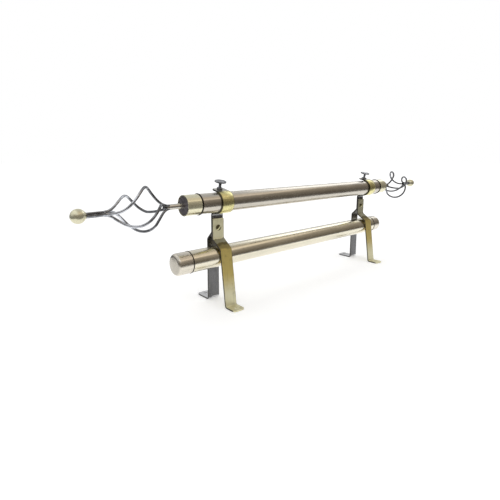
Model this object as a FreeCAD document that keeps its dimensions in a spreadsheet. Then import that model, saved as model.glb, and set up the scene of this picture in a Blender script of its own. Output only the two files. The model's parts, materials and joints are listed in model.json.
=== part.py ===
import FreeCAD, Part
import math
import os

import Sketcher
from FreeCAD import Placement, Rotation, Vector

# Double curtain pole: two round poles held by a pair of bent strip brackets, standing on the brackets' feet.
# Millimetres and degrees. +Z is up, away from the feet, +X runs along the poles, and +Y points to the open
# side of the hooks. The origin is the middle of the four wall screws, on the underside of the feet.

SIZES = {
    # Poles, both round tube
    "upper_pole_diameter": 25,
    "upper_pole_length": 390,
    "upper_pole_shift": -4,
    "upper_pole_height": 133.2,
    "upper_pole_forward": 6,
    "lower_pole_diameter": 27,
    "lower_pole_length": 395.4,
    "lower_pole_shift": -12,
    "pole_drop": 70.9,
    "pole_wall": 1,
    # Push fit of one turned piece in another
    "fit_clearance": 0.05,
    # Caps of the lower pole, flush with it, each with a spigot inside
    "cap_length": 21.3,
    "cap_spigot_length": 12,
    "cap_edge_chamfer": 1.8,
    # Bracket strips
    "bracket_spacing": 325,
    "strip_width": 17.5,
    "strip_thickness": 1.8,
    "bend_radius": 4,
    "foot_bend_radius": 3,
    "hook_bend_radius": 5,
    "pole_clearance": 0.1,
    "foot_reach": 41,
    "foot_corner_radius": 4,
    "wall_screw_hole": 5,
    "wall_screw_inset": 8,
    "joint_plane_back": 4,
    "rear_shoulder_rise": 21.2,
    "front_shoulder_rise": 11.2,
    "plate_top_gap": 8.7,
    "plate_bend_drop": 14.5,
    "tail_bend_drop": 5.5,
    "plate_corner_radius": 1.5,
    "front_leg_splay": 8,
    "tab_tilt": 12,
    "tab_length": 13,
    "tab_corner_radius": 3,
    "tab_hole_inset": 5,
    # Slotted screw and nut that join the two strips
    "joint_screw_diameter": 4,
    "joint_screw_inset": 12,
    "joint_head_diameter": 7.6,
    "joint_head_height": 2.4,
    "joint_head_chamfer": 1.3,
    "joint_slot_width": 1.1,
    "joint_slot_depth": 1.3,
    "joint_slot_angle": 40,
    "joint_nut_width": 7,
    "joint_nut_height": 3.2,
    "joint_screw_past_nut": 1.2,
    # Thumb screw that locks the upper pole, and its nut on the tab
    "thumb_screw_diameter": 4,
    "thumb_head_diameter": 15,
    "thumb_head_height": 2.2,
    "thumb_head_lift": 9.6,
    "thumb_nut_width": 7,
    "thumb_nut_height": 2.2,
    "thumb_tip_gap": 0.2,
    "screw_hole_clearance": 0.2,
    # Finials: ferrule, plug, stem, wire cage, collar and ball
    "ferrule_length": 20,
    "plug_recess": 0.5,
    "plug_spigot_length": 10,
    "stem_diameter": 6.6,
    "stem_length": 23.5,
    "stem_thread_diameter": 5,
    "stem_thread_length": 13,
    "wire_diameter": 2.6,
    "wire_spacing": 0.25,
    "cage_length": 68.3,
    "cage_radius": 25.5,
    "cage_peak": 28.5,
    "cage_twist_angle": -152.6,
    "cage_turn_angle": 46.7,
    "cage_fullness": 1.3,
    "cage_lead": 3,
    "collar_diameter": 6.2,
    "collar_length": 19.7,
    "ball_diameter": 15,
}

WIRES_PER_CAGE = 4
WIRE_RUNS = 11
WIRE_SIDES = 8
BALL_SIDES = 24
BALL_BANDS = 9
SIDES = {"left": -1, "right": 1}

doc = FreeCAD.newDocument("DoubleCurtainPole")
sheet = doc.addObject("Spreadsheet::Sheet", "Sizes")
for row, (size_name, size) in enumerate(SIZES.items(), start=1):
    sheet.set(f"A{row}", size_name)
    sheet.set(f"B{row}", str(size))
    sheet.setAlias(f"B{row}", size_name)
doc.recompute()

subparts = []


def value(expression):
    """The number that an expression in the sheet's sizes comes to."""
    result = sheet.evalExpression(expression)
    return float(getattr(result, "Value", result))


# Expressions that several pieces share
UPPER_R = "(Sizes.upper_pole_diameter / 2)"
LOWER_R = "(Sizes.lower_pole_diameter / 2)"
UPPER_BORE_R = f"({UPPER_R} - Sizes.pole_wall)"
LOWER_BORE_R = f"({LOWER_R} - Sizes.pole_wall)"
STRIP = "Sizes.strip_thickness"
HALF_STRIP = "(Sizes.strip_thickness / 2)"
HOOK_R = f"({UPPER_R} + Sizes.pole_clearance + {HALF_STRIP})"
FORK_R = f"({LOWER_R} + Sizes.pole_clearance + {HALF_STRIP})"
REAR_LEG_Y = FORK_R
UPPER_Y = "(-Sizes.upper_pole_forward)"
TAIL_Y = f"(Sizes.joint_plane_back + {HALF_STRIP})"
PLATE_Y = f"(Sizes.joint_plane_back - {HALF_STRIP})"
LOWER_Z = "(Sizes.upper_pole_height - Sizes.pole_drop)"
HOOK_FLOOR_Z = f"(Sizes.upper_pole_height - {HOOK_R})"
REAR_SHOULDER_Z = f"({LOWER_Z} + Sizes.rear_shoulder_rise)"
FRONT_SHOULDER_Z = f"({LOWER_Z} + Sizes.front_shoulder_rise)"
PLATE_TOP_Z = f"({HOOK_FLOOR_Z} - Sizes.plate_top_gap)"
JOINT_SCREW_Z = f"({PLATE_TOP_Z} - Sizes.joint_screw_inset)"
PLATE_BEND_Z = f"({JOINT_SCREW_Z} - Sizes.plate_bend_drop)"
TAIL_BEND_Z = f"({JOINT_SCREW_Z} - Sizes.tail_bend_drop)"
SIN_TILT = "sin(Sizes.tab_tilt)"
COS_TILT = "cos(Sizes.tab_tilt)"
TAB_HOLE_ALONG = "(Sizes.tab_length - Sizes.tab_hole_inset)"
TAB_HOLE_Y = f"({UPPER_Y} + {TAB_HOLE_ALONG} * {COS_TILT} - {HOOK_R} * {SIN_TILT})"
TAB_HOLE_Z = f"(Sizes.upper_pole_height + {HOOK_R} * {COS_TILT} + {TAB_HOLE_ALONG} * {SIN_TILT})"
PLUG_FACE = "(Sizes.ferrule_length - Sizes.plug_recess)"
STEM_END = f"({PLUG_FACE} + Sizes.stem_length)"
CAGE_END = f"({STEM_END} + Sizes.cage_length)"
COLLAR_END = f"({CAGE_END} + Sizes.collar_length)"
POLE_AXES = {"upper_pole": (UPPER_Y, "Sizes.upper_pole_height"), "lower_pole": ("0", LOWER_Z)}


def front_leg_y(height):
    """Where the middle of the splayed front leg lies at a height, so that it lies against the lower pole."""
    drop = f"({LOWER_Z} - {height})"
    return f"(-{FORK_R} / cos(Sizes.front_leg_splay) - {drop} * tan(Sizes.front_leg_splay))"


def new_body(label):
    """An empty body whose label is its node's name."""
    body = doc.addObject("PartDesign::Body", label)
    body.Label = label
    return body


def keep(piece, label):
    """Name a finished piece and put it on the list of sub-parts."""
    piece.Label = label
    subparts.append(piece)
    return piece


def place(piece, x="0", y="0", z="0"):
    """Bind a piece's position to three expressions."""
    for name, expression in zip("xyz", (x, y, z)):
        piece.setExpression(f"Placement.Base.{name}", expression)


def bracket_x(side):
    """The middle of one bracket along the poles."""
    return f"{SIDES[side]} * Sizes.bracket_spacing / 2"


def new_sketch(body, name, role):
    """A sketch on one of its body's own origin planes."""
    sketch = body.newObject("Sketcher::SketchObject", name)
    plane = next(feature for feature in body.Origin.OriginFeatures if feature.Role == role)
    sketch.AttachmentSupport = [(plane, "")]
    sketch.MapMode = "FlatFace"
    return sketch


def constrain(sketch, expression, *constraint):
    """Add a dimension to a sketch and bind it to an expression."""
    index = sketch.addConstraint(Sketcher.Constraint(*constraint, value(expression)))
    sketch.setExpression(f"Constraints[{index}]", expression)


def pin(sketch, geometry, end, across, up):
    """Hold one point of a sketch at two expressions, measured from the sketch's origin."""
    for kind, axis, expression in (("DistanceX", -2, across), ("DistanceY", -1, up)):
        if expression == "0":
            sketch.addConstraint(Sketcher.Constraint("PointOnObject", geometry, end, axis))
        else:
            constrain(sketch, expression, kind, -1, 1, geometry, end)


def arc_between(centre, start, end, counterclockwise):
    """An arc about a centre, with the numbers of its ends where the path enters and leaves it."""
    first, last = (start, end) if counterclockwise else (end, start)
    circle = Part.Circle(centre, Vector(0, 0, 1), (start - centre).Length)
    angles = [math.atan2((p - centre).y, (p - centre).x) for p in (first, last)]
    ends = (1, 2) if counterclockwise else (2, 1)
    return Part.ArcOfCircle(circle, *angles), ends


def turns_left(before, corner, after):
    """Whether a path bends to the left at a corner."""
    return (corner - before).cross(after - corner).z > 0


def pinned_outline(sketch, corners):
    """A closed outline of straight lines, each corner held at two expressions."""
    points = [Vector(value(across), value(up), 0) for across, up in corners]
    for index in range(len(points)):
        sketch.addGeometry(Part.LineSegment(points[index - 1], points[index]), False)
    for index, (across, up) in enumerate(corners):
        following = (index + 1) % len(corners)
        sketch.addConstraint(Sketcher.Constraint("Coincident", index, 2, following, 1))
        pin(sketch, index, 2, across, up)


def turned(label, outline):
    """A body turned about its own X axis. Each corner of the outline is (along, radius)."""
    body = new_body(label)
    sketch = new_sketch(body, "Outline", "XZ_Plane")
    pinned_outline(sketch, outline)
    revolution = body.newObject("PartDesign::Revolution", "Turning")
    revolution.Profile = sketch
    revolution.ReferenceAxis = (sketch, ["H_Axis"])
    revolution.Angle = 360
    return body


def bent_spine(body, corners):
    """The middle line of a bent strip in the YZ plane: straight runs joined by tangent bends. Each corner is
    (y, z, bend radius), with no radius at the two ends. Returns the sketch and its last run."""
    sketch = new_sketch(body, "Spine", "YZ_Plane")
    points = [Vector(value(y), value(z), 0) for y, z, radius in corners]
    starts = {0: points[0]}
    stops = {len(points) - 2: points[-1]}
    bends = {}
    for index in range(1, len(points) - 1):
        corner = points[index]
        back = (points[index - 1] - corner).normalize()
        ahead = (points[index + 1] - corner).normalize()
        radius = value(corners[index][2])
        half = back.getAngle(ahead) / 2
        stops[index - 1] = corner + back * (radius / math.tan(half))
        starts[index] = corner + ahead * (radius / math.tan(half))
        centre = corner + (back + ahead).normalize() * (radius / math.sin(half))
        left = turns_left(points[index - 1], corner, points[index + 1])
        bends[index] = arc_between(centre, stops[index - 1], starts[index], left)
    runs = []
    for index in range(len(points) - 1):
        runs.append(sketch.addGeometry(Part.LineSegment(starts[index], stops[index]), False))
    pin(sketch, runs[0], 1, *corners[0][:2])
    pin(sketch, runs[-1], 2, *corners[-1][:2])
    for index, (arc, ends) in bends.items():
        bend = sketch.addGeometry(arc, False)
        corner = sketch.addGeometry(Part.Point(points[index]), True)
        pin(sketch, corner, 1, *corners[index][:2])
        for run in (runs[index - 1], runs[index]):
            sketch.addConstraint(Sketcher.Constraint("PointOnObject", corner, 1, run))
        sketch.addConstraint(Sketcher.Constraint("Tangent", runs[index - 1], 2, bend, ends[0]))
        sketch.addConstraint(Sketcher.Constraint("Tangent", bend, ends[1], runs[index], 1))
        constrain(sketch, corners[index][2], "Radius", bend)
    return sketch, runs[-1]


def sweep_strip(body, spine, foot_y):
    """Sweep the strip's flat section along its spine, from the end of its foot."""
    section = new_sketch(body, "Section", "XZ_Plane")
    section.setExpression("AttachmentOffset.Base.z", f"-({foot_y})")
    half_width = "(Sizes.strip_width / 2)"
    corners = [(f"-{half_width}", "0"), (half_width, "0"), (half_width, STRIP), (f"-{half_width}", STRIP)]
    pinned_outline(section, corners)
    doc.recompute()
    strip = body.newObject("PartDesign::AdditivePipe", "Strip")
    strip.Profile = section
    strip.Spine = (spine, [f"Edge{number}" for number in range(1, len(spine.Shape.Edges) + 1)])
    doc.recompute()
    return strip


def round_corners(body, y, z, radius):
    """Round the strip's two corners at an end: its short edges nearest to a point of the middle line."""
    end = Vector(0, value(y), value(z))
    thickness = value(STRIP)
    chosen = []
    for number, edge in enumerate(body.Shape.Edges, start=1):
        middle = edge.CenterOfMass
        level = Vector(0, middle.y, middle.z)
        if abs(edge.Length - thickness) < thickness / 100 and level.distanceToPoint(end) < thickness / 10:
            chosen.append(f"Edge{number}")
    square_ended = body.Tip
    fillet = body.newObject("PartDesign::Fillet", "Corners")
    fillet.Base = (square_ended, chosen)
    fillet.setExpression("Radius", radius)
    doc.recompute()


def drill(body, role, diameter, offsets, tilt=None):
    """Drill a round hole through the strip, about a point of its middle plane."""
    before = body.Shape.Volume
    sketch = new_sketch(body, "HoleSketch", role)
    if tilt:
        sketch.AttachmentOffset = Placement(Vector(), Rotation(Vector(1, 0, 0), value(tilt)))
        sketch.setExpression("AttachmentOffset.Rotation.Angle", tilt)
    for name, expression in offsets.items():
        sketch.setExpression(f"AttachmentOffset.Base.{name}", expression)
    radius = value(diameter) / 2
    sketch.addGeometry(Part.Circle(Vector(), Vector(0, 0, 1), radius), False)
    sketch.addConstraint(Sketcher.Constraint("Coincident", 0, 3, -1, 1))
    constrain(sketch, diameter, "Diameter", 0)
    pocket = body.newObject("PartDesign::Pocket", "Hole")
    pocket.Profile = sketch
    pocket.SideType = "Symmetric"
    pocket.setExpression("Length", f"{STRIP} * 2")
    doc.recompute()
    if body.Shape.Volume >= before:
        raise RuntimeError(f"{body.Label}: a hole cut nothing")


def rear_strip(side):
    """Foot, rear leg, tail behind the joint, then the hook that wraps the upper pole from below and ends
    above it in a tab that rises towards the open side."""
    label = f"{side}_rear_strip"
    body = new_body(label)
    foot_y = "Sizes.foot_reach"
    corners = [
        (foot_y, HALF_STRIP, None),
        (REAR_LEG_Y, HALF_STRIP, "Sizes.foot_bend_radius"),
        (REAR_LEG_Y, REAR_SHOULDER_Z, "Sizes.bend_radius"),
        (TAIL_Y, TAIL_BEND_Z, "Sizes.bend_radius"),
        (TAIL_Y, HOOK_FLOOR_Z, "Sizes.hook_bend_radius"),
        (UPPER_Y, HOOK_FLOOR_Z, None),
    ]
    spine, run = bent_spine(body, corners)
    hook_end = (f"{UPPER_Y} - {HOOK_R} * {SIN_TILT}", f"Sizes.upper_pole_height + {HOOK_R} * {COS_TILT}")
    tab_run = (f"Sizes.tab_length * {COS_TILT}", f"Sizes.tab_length * {SIN_TILT}")
    tab_end = tuple(f"{start} + {run}" for start, run in zip(hook_end, tab_run))
    centre = Vector(value(UPPER_Y), value("Sizes.upper_pole_height"), 0)
    hook_start = Vector(value(UPPER_Y), value(HOOK_FLOOR_Z), 0)
    hook_stop = Vector(value(hook_end[0]), value(hook_end[1]), 0)
    arc, ends = arc_between(centre, hook_start, hook_stop, False)
    hook = spine.addGeometry(arc, False)
    pin(spine, hook, 3, UPPER_Y, "Sizes.upper_pole_height")
    spine.addConstraint(Sketcher.Constraint("Coincident", run, 2, hook, ends[0]))
    constrain(spine, hook_end[0], "DistanceX", -1, 1, hook, ends[1])
    tab_stop = Vector(value(tab_end[0]), value(tab_end[1]), 0)
    tab = spine.addGeometry(Part.LineSegment(hook_stop, tab_stop), False)
    spine.addConstraint(Sketcher.Constraint("Coincident", hook, ends[1], tab, 1))
    pin(spine, tab, 2, *tab_end)
    sweep_strip(body, spine, foot_y)
    round_corners(body, foot_y, HALF_STRIP, "Sizes.foot_corner_radius")
    round_corners(body, *tab_end, "Sizes.tab_corner_radius")
    wall_hole = {"y": f"{foot_y} - Sizes.wall_screw_inset", "z": HALF_STRIP}
    drill(body, "XY_Plane", "Sizes.wall_screw_hole", wall_hole)
    joint_hole = {"y": JOINT_SCREW_Z, "z": f"-{TAIL_Y}"}
    drill(body, "XZ_Plane", "(Sizes.joint_screw_diameter + 2 * Sizes.screw_hole_clearance)", joint_hole)
    tab_hole = {"y": TAB_HOLE_Y, "z": TAB_HOLE_Z}
    tab_hole_diameter = "(Sizes.thumb_screw_diameter + 2 * Sizes.screw_hole_clearance)"
    drill(body, "XY_Plane", tab_hole_diameter, tab_hole, tilt="Sizes.tab_tilt")
    place(body, x=bracket_x(side))
    return keep(body, label)


def front_strip(side):
    """Foot, splayed front leg, slope over the lower pole, and the plate screwed to the tail."""
    label = f"{side}_front_strip"
    body = new_body(label)
    foot_y = "-Sizes.foot_reach"
    plate_end = (PLATE_Y, PLATE_TOP_Z)
    corners = [
        (foot_y, HALF_STRIP, None),
        (front_leg_y(HALF_STRIP), HALF_STRIP, "Sizes.foot_bend_radius"),
        (front_leg_y(FRONT_SHOULDER_Z), FRONT_SHOULDER_Z, "Sizes.bend_radius"),
        (PLATE_Y, PLATE_BEND_Z, "Sizes.bend_radius"),
        (*plate_end, None),
    ]
    spine, run = bent_spine(body, corners)
    sweep_strip(body, spine, foot_y)
    round_corners(body, foot_y, HALF_STRIP, "Sizes.foot_corner_radius")
    round_corners(body, *plate_end, "Sizes.plate_corner_radius")
    wall_hole = {"y": f"{foot_y} + Sizes.wall_screw_inset", "z": HALF_STRIP}
    drill(body, "XY_Plane", "Sizes.wall_screw_hole", wall_hole)
    joint_hole = {"y": JOINT_SCREW_Z, "z": f"-{PLATE_Y}"}
    drill(body, "XZ_Plane", "(Sizes.joint_screw_diameter + 2 * Sizes.screw_hole_clearance)", joint_hole)
    place(body, x=bracket_x(side))
    return keep(body, label)


def hex_nut(label, width, height, bore):
    """A plain hexagon nut standing on its own XY plane."""
    block = doc.addObject("Part::Prism", f"{label}_block")
    block.Polygon = 6
    block.setExpression("Circumradius", f"{width} / sqrt(3)")
    block.setExpression("Height", height)
    hole = doc.addObject("Part::Cylinder", f"{label}_hole")
    hole.setExpression("Radius", bore)
    hole.setExpression("Height", height)
    nut = doc.addObject("Part::Cut", label)
    nut.Base = block
    nut.Tool = hole
    return keep(nut, label)


def joint_screw(side):
    """Round-headed slotted screw through the plate and the tail, with its nut behind."""
    shank = "(Sizes.joint_screw_diameter / 2)"
    head = "(Sizes.joint_head_diameter / 2)"
    tip = f"-(2 * {STRIP} + Sizes.joint_nut_height + Sizes.joint_screw_past_nut)"
    chamfer = "Sizes.joint_head_chamfer"
    outline = [
        (tip, "0"),
        ("Sizes.joint_head_height", "0"),
        ("Sizes.joint_head_height", f"{head} - {chamfer}"),
        (f"Sizes.joint_head_height - {chamfer}", head),
        ("0", head),
        ("0", shank),
        (tip, shank),
    ]
    blank = turned(f"{side}_joint_screw_blank", outline)
    slot = doc.addObject("Part::Box", f"{side}_joint_slot")
    slot.setExpression("Length", "Sizes.joint_slot_depth * 2")
    slot.setExpression("Width", "Sizes.joint_slot_width")
    slot.setExpression("Height", "Sizes.joint_head_diameter * 2")
    slot.Placement = Placement(Vector(), Rotation(Vector(1, 0, 0), value("Sizes.joint_slot_angle")))
    slot.setExpression("Placement.Rotation.Angle", "Sizes.joint_slot_angle")
    turn = "Sizes.joint_slot_angle"
    half_width = "Sizes.joint_slot_width / 2"
    reach = "Sizes.joint_head_diameter"
    slot_y = f"{reach} * sin({turn}) - {half_width} * cos({turn})"
    slot_z = f"-{reach} * cos({turn}) - {half_width} * sin({turn})"
    place(slot, "Sizes.joint_head_height - Sizes.joint_slot_depth", slot_y, slot_z)
    screw = doc.addObject("Part::Cut", f"{side}_joint_screw")
    screw.Base = blank
    screw.Tool = slot
    screw.Placement = Placement(Vector(), Rotation(Vector(0, 0, 1), -90))
    place(screw, bracket_x(side), f"Sizes.joint_plane_back - {STRIP}", JOINT_SCREW_Z)
    keep(screw, f"{side}_joint_screw")
    bore = f"{shank} + Sizes.fit_clearance"
    nut = hex_nut(f"{side}_joint_nut", "Sizes.joint_nut_width", "Sizes.joint_nut_height", bore)
    nut.Placement = Placement(Vector(), Rotation(Vector(1, 0, 0), -90))
    place(nut, bracket_x(side), f"Sizes.joint_plane_back + {STRIP}", JOINT_SCREW_Z)


def thumb_screw(side):
    """Disc-headed screw whose end stops just off the upper pole, square to the tab that carries it. Its own X
    axis runs up the screw from the tab's middle plane."""
    shank = "(Sizes.thumb_screw_diameter / 2)"
    near_edge = f"({TAB_HOLE_ALONG} - {shank})"
    tip = f"(sqrt(pow({UPPER_R} + Sizes.thumb_tip_gap; 2) - pow({near_edge}; 2)) - {HOOK_R})"
    lift = "Sizes.thumb_head_lift"
    top = f"({lift} + Sizes.thumb_head_height)"
    head = "(Sizes.thumb_head_diameter / 2)"
    outline = [(tip, "0"), (top, "0"), (top, head), (lift, head), (lift, shank), (tip, shank)]
    screw = turned(f"{side}_thumb_screw", outline)
    screw.Placement = Placement(Vector(), thumb_rotation())
    place(screw, bracket_x(side), TAB_HOLE_Y, TAB_HOLE_Z)
    keep(screw, f"{side}_thumb_screw")
    bore = f"{shank} + Sizes.fit_clearance"
    nut = hex_nut(f"{side}_thumb_nut", "Sizes.thumb_nut_width", "Sizes.thumb_nut_height", bore)
    nut.Placement = Placement(Vector(), Rotation(Vector(1, 0, 0), value("Sizes.tab_tilt")))
    nut.setExpression("Placement.Rotation.Angle", "Sizes.tab_tilt")
    nut_y = f"{TAB_HOLE_Y} - {HALF_STRIP} * {SIN_TILT}"
    nut_z = f"{TAB_HOLE_Z} + {HALF_STRIP} * {COS_TILT}"
    place(nut, bracket_x(side), nut_y, nut_z)


def thumb_rotation():
    """Turn a piece's X axis up and lean it to the front, square to the tab."""
    upright = Rotation(Vector(0, 1, 0), -90)
    return Rotation(Vector(1, 0, 0), value("Sizes.tab_tilt")).multiply(upright)


def tube(pole, radius, bore):
    """A straight round pole along X."""
    half = f"(Sizes.{pole}_length / 2)"
    piece = turned(pole, [(f"-{half}", bore), (half, bore), (half, radius), (f"-{half}", radius)])
    place(piece, f"Sizes.{pole}_shift", *POLE_AXES[pole])
    return keep(piece, pole)


def set_on_end(piece, side, pole, turn=0):
    """Put a piece drawn outwards from a pole's right end on one end of that pole, turned about the pole."""
    half_turn = Rotation(Vector(0, 0, 1), 180 if side == "left" else 0)
    piece.Placement = Placement(Vector(), half_turn.multiply(Rotation(Vector(1, 0, 0), turn)))
    place(piece, f"Sizes.{pole}_shift + {SIDES[side]} * Sizes.{pole}_length / 2", *POLE_AXES[pole])


def lower_cap(side):
    """Cap as wide as the lower pole, with a chamfered rim and a spigot inside the pole."""
    spigot = f"({LOWER_BORE_R} - Sizes.fit_clearance)"
    face = "Sizes.cap_length"
    chamfer = "Sizes.cap_edge_chamfer"
    outline = [
        ("-Sizes.cap_spigot_length", "0"),
        (face, "0"),
        (face, f"{LOWER_R} - {chamfer}"),
        (f"{face} - {chamfer}", LOWER_R),
        ("0", LOWER_R),
        ("0", spigot),
        ("-Sizes.cap_spigot_length", spigot),
    ]
    cap = turned(f"{side}_lower_cap", outline)
    set_on_end(cap, side, "lower_pole")
    keep(cap, f"{side}_lower_cap")


def ferrule_outline():
    """Sleeve as wide as the pole, butted on its end."""
    end = "Sizes.ferrule_length"
    return [("0", UPPER_BORE_R), (end, UPPER_BORE_R), (end, UPPER_R), ("0", UPPER_R)]


def plug_outline():
    """Round plug that joins the sleeve to the pole from inside, with a bore for the stem's thread."""
    rim = f"({UPPER_BORE_R} - Sizes.fit_clearance)"
    bore = "(Sizes.stem_thread_diameter / 2 + Sizes.fit_clearance)"
    return [
        ("-Sizes.plug_spigot_length", bore),
        (PLUG_FACE, bore),
        (PLUG_FACE, rim),
        ("-Sizes.plug_spigot_length", rim),
    ]


def stem_outline():
    """Rod that carries the cage, with a thinner thread in the plug."""
    thread = "(Sizes.stem_thread_diameter / 2)"
    rod = "(Sizes.stem_diameter / 2)"
    thread_end = f"({PLUG_FACE} - Sizes.stem_thread_length)"
    return [
        (thread_end, "0"),
        (STEM_END, "0"),
        (STEM_END, rod),
        (PLUG_FACE, rod),
        (PLUG_FACE, thread),
        (thread_end, thread),
    ]


def collar_outline():
    """Collar that gathers the cage's wires and carries the ball."""
    rod = "(Sizes.collar_diameter / 2)"
    return [(CAGE_END, "0"), (COLLAR_END, "0"), (COLLAR_END, rod), (CAGE_END, rod)]


def ringed_solid(label, rings):
    """A solid with flat facets between rings of points, closed at its two ends."""
    sides = len(rings[0])
    faces = [Part.Face(Part.makePolygon([*ring, ring[0]])) for ring in (rings[0], rings[-1])]
    for first, second in zip(rings, rings[1:]):
        for side in range(sides):
            corners = [first[side - 1], first[side], second[side], second[side - 1]]
            faces.append(Part.Face(Part.makePolygon([*corners, corners[0]])))
    solid = doc.addObject("Part::Feature", label)
    solid.Shape = Part.Solid(Part.Shell(faces))
    return keep(solid, label)


def ring(centre, radius, sides):
    """Points round a centre, in the plane across the pole."""
    angles = [math.radians(360 * side / sides) for side in range(sides)]
    return [centre + Vector(0, math.cos(angle), math.sin(angle)) * radius for angle in angles]


def ball(label):
    """Finely facetted ball with a flat seat for the collar and a small flat at its far end."""
    radius = value("Sizes.ball_diameter") / 2
    seat = math.pi - math.asin(value("Sizes.collar_diameter") / 2 / radius)
    centre = value(COLLAR_END) - radius * math.cos(seat)
    angles = [seat * (BALL_BANDS + 1 - band) / (BALL_BANDS + 1) for band in range(BALL_BANDS + 1)]
    rings = []
    for angle in angles:
        middle = Vector(centre + radius * math.cos(angle), 0, 0)
        rings.append(ring(middle, radius * math.sin(angle), BALL_SIDES))
    return ringed_solid(label, rings)


def cage_point(along):
    """A point of a wire's middle line: the cage swells from the stem to its peak, then narrows again."""
    length = value("Sizes.cage_length")
    lead = value("Sizes.cage_lead")
    spread = length - 2 * lead
    share = min(max((along - lead) / spread, 0), 1)
    power = math.log(0.5) / math.log((value("Sizes.cage_peak") - lead) / spread)
    gathered = (value("Sizes.wire_diameter") + value("Sizes.wire_spacing")) / math.sqrt(2)
    swell = math.sin(math.pi * share ** power) ** value("Sizes.cage_fullness")
    radius = gathered + (value("Sizes.cage_radius") - gathered) * swell
    turn = math.radians(value("Sizes.cage_turn_angle") + value("Sizes.cage_twist_angle") * share)
    return Vector(value(STEM_END) + along, radius * math.cos(turn), radius * math.sin(turn))


def mitred_section(section, before, corner, after):
    """Carry a section along a run to the plane that halves the corner at its end."""
    arrive = (corner - before).normalize()
    normal = arrive + (after - corner).normalize()
    return [point + arrive * ((corner - point).dot(normal) / arrive.dot(normal)) for point in section]


def cage_wire(label):
    """One wire of the cage, from the stem to the collar, in short straight runs with mitred corners."""
    length = value("Sizes.cage_length")
    lead = value("Sizes.cage_lead")
    radius = value("Sizes.wire_diameter") / 2
    steps = [lead + (length - 2 * lead) * step / WIRE_RUNS for step in range(WIRE_RUNS + 1)]
    points = [cage_point(along) for along in [0, *steps, length]]
    rings = [ring(points[0], radius, WIRE_SIDES)]
    for before, corner, after in zip(points, points[1:], points[2:]):
        rings.append(mitred_section(rings[-1], before, corner, after))
    rings.append([Vector(points[-1].x, point.y, point.z) for point in rings[-1]])
    return ringed_solid(label, rings)


def finial(side):
    """Everything beyond one end of the upper pole."""
    pieces = [
        keep(turned(f"{side}_ferrule", ferrule_outline()), f"{side}_ferrule"),
        keep(turned(f"{side}_end_plug", plug_outline()), f"{side}_end_plug"),
        keep(turned(f"{side}_finial_stem", stem_outline()), f"{side}_finial_stem"),
        keep(turned(f"{side}_finial_collar", collar_outline()), f"{side}_finial_collar"),
        ball(f"{side}_finial_ball"),
    ]
    for piece in pieces:
        set_on_end(piece, side, "upper_pole")
    for number in range(WIRES_PER_CAGE):
        wire = cage_wire(f"{side}_cage_wire_{number + 1}")
        set_on_end(wire, side, "upper_pole", turn=360 * number / WIRES_PER_CAGE)


tube("upper_pole", UPPER_R, UPPER_BORE_R)
tube("lower_pole", LOWER_R, LOWER_BORE_R)
for side in SIDES:
    rear_strip(side)
    front_strip(side)
    joint_screw(side)
    thumb_screw(side)
    lower_cap(side)
    finial(side)

doc.recompute()

failed = [item.Name for item in doc.Objects if "Invalid" in item.State or "Error" in item.State]
if failed:
    raise RuntimeError(f"these did not build: {failed}")
for piece in subparts:
    if piece.Shape.isNull() or not piece.Shape.isValid() or len(piece.Shape.Solids) != 1:
        raise RuntimeError(f"{piece.Label} is not one valid solid")

os.makedirs("parts", exist_ok=True)
for piece in subparts:
    piece.Shape.exportStep(f"parts/{piece.Label}.step")
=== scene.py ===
import json
import math

import bmesh
import bpy
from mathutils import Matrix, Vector


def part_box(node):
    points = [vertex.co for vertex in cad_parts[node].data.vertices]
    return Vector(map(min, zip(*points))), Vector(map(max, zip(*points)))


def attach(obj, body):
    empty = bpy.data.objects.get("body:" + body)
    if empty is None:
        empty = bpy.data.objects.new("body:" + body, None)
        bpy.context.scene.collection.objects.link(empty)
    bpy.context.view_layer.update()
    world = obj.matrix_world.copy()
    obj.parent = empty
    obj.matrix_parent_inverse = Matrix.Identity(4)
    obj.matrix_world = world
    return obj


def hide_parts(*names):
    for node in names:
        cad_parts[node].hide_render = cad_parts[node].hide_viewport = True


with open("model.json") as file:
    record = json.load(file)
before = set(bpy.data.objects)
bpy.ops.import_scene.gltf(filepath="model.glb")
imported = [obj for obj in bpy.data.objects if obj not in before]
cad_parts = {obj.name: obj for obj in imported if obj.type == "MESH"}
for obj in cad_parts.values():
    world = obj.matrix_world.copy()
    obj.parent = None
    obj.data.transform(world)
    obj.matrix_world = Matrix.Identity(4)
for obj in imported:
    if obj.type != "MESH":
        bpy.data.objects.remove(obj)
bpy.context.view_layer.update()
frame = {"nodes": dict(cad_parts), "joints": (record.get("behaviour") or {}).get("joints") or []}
scene = bpy.context.scene
nodes = frame["nodes"]

MM = 0.001
SIDES = {"left": -1, "right": 1}

# Camera at the photograph's viewing angle
CAMERA_PLACE = (-0.44442, -0.38062, 0.19268)
CAMERA_AZIMUTH = -39.77
CAMERA_ELEVATION = 8.66
CAMERA_LENS = 26.99
CAMERA_SENSOR = 36
CAMERA_SHIFT = (0.01958, -0.07764)
CAMERA_CLIP = (0.01, 50)

# Middle lines of the cage's wires, as in the solids
WIRES_PER_CAGE = 4
WIRE_RADIUS = 1.3 * MM
WIRE_SPACING = 0.25 * MM
CAGE_RADIUS = 25.5 * MM
CAGE_PEAK = 28.5 * MM
CAGE_LEAD = 3 * MM
CAGE_TURN = 46.7
CAGE_TWIST = -152.6
CAGE_FULLNESS = 1.3

# Wires as drawn: a little thicker than the solids, with eased bends and with roots that lie along the stem
WIRE_LOOK_RADIUS = 1.55 * MM
WIRE_STEPS = 84
WIRE_SIDES = 14
WIRE_EASING = 10
ROOT_LENGTH = 4 * MM
ROOT_POINTS = 4
ROOT_REACH = 22
ROOT_EASING = 60

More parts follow.
